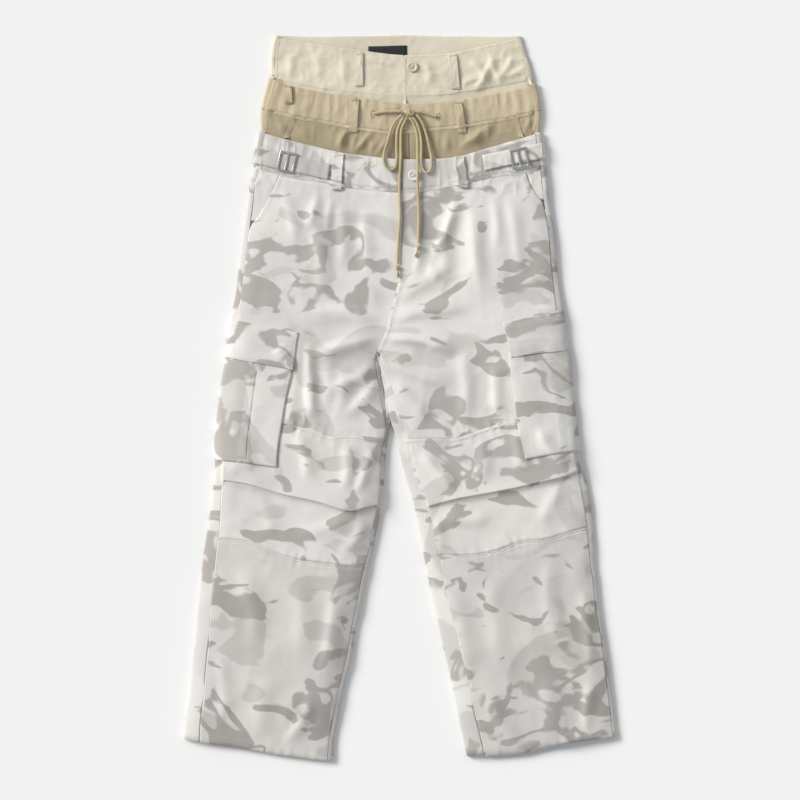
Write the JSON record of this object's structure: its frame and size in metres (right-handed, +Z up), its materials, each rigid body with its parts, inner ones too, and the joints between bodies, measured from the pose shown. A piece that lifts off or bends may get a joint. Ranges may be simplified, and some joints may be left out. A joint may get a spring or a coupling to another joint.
{
  "type": "cargo pants",
  "caption": "Wide camo cargo pants laid flat, with a tan and a cream waist sewn inside, belt loops, a tied drawstring, side straps and flapped cargo pockets.",
  "frame": {"origin": "centre of the bounding box, on the flat surface the pants lie on", "axes": "+X towards the viewer's right, +Y from the hems towards the waist, +Z up from the surface they lie on"},
  "size_m": [0.6936, 1.1589, 0.0204],
  "materials": {
    "camo_cloth": "matt cotton twill, pale camouflage",
    "tan_cloth": "matt cotton twill",
    "cream_cloth": "matt cotton twill",
    "cord": "braided cotton cord",
    "buckle_metal": "satin silver",
    "button_plastic": "satin",
    "label_cloth": "plain black weave"
  },
  "bodies": {
    "root": {"camo_back_left": "camo_cloth", "camo_back_right": "camo_cloth", "camo_front_left": "camo_cloth", "camo_front_right": "camo_cloth", "camo_hand_pocket_left": "camo_cloth", "camo_hand_pocket_right": "camo_cloth", "camo_knee_left": "camo_cloth", "camo_knee_right": "camo_cloth", "camo_loop_left": "camo_cloth", "camo_loop_right": "camo_cloth", "camo_shin_left": "camo_cloth", "camo_shin_right": "camo_cloth", "camo_waistband_back": "camo_cloth", "camo_waistband_left": "camo_cloth", "camo_waistband_right": "camo_cloth", "cargo_flap_left": "camo_cloth", "cargo_flap_right": "camo_cloth", "cargo_pocket_left": "camo_cloth", "cargo_pocket_right": "camo_cloth", "cord_bow_knot": "cord", "cord_bow_left": "cord", "cord_bow_right": "cord", "cord_end_left": "cord", "cord_end_right": "cord", "cord_lead_left": "cord", "cord_lead_right": "cord", "cord_tip_left": "cord", "cord_tip_right": "cord", "cream_back": "cream_cloth", "cream_button": "button_plastic", "cream_front_left": "cream_cloth", "cream_front_right": "cream_cloth", "cream_loop_left": "cream_cloth", "cream_loop_right": "cream_cloth", "cream_waistband_back": "cream_cloth", "cream_waistband_left": "cream_cloth", "cream_waistband_right": "cream_cloth", "fly_button": "button_plastic", "side_buckle_left": "buckle_metal", "side_buckle_right": "buckle_metal", "side_strap_left": "camo_cloth", "side_strap_right": "camo_cloth", "tan_back": "tan_cloth", "tan_front_left": "tan_cloth", "tan_front_right": "tan_cloth", "tan_loop_left": "tan_cloth", "tan_loop_right": "tan_cloth", "tan_loop_side": "tan_cloth", "tan_waistband_back": "tan_cloth", "tan_waistband_front": "tan_cloth", "woven_label": "label_cloth"}
  },
  "joints": []
}
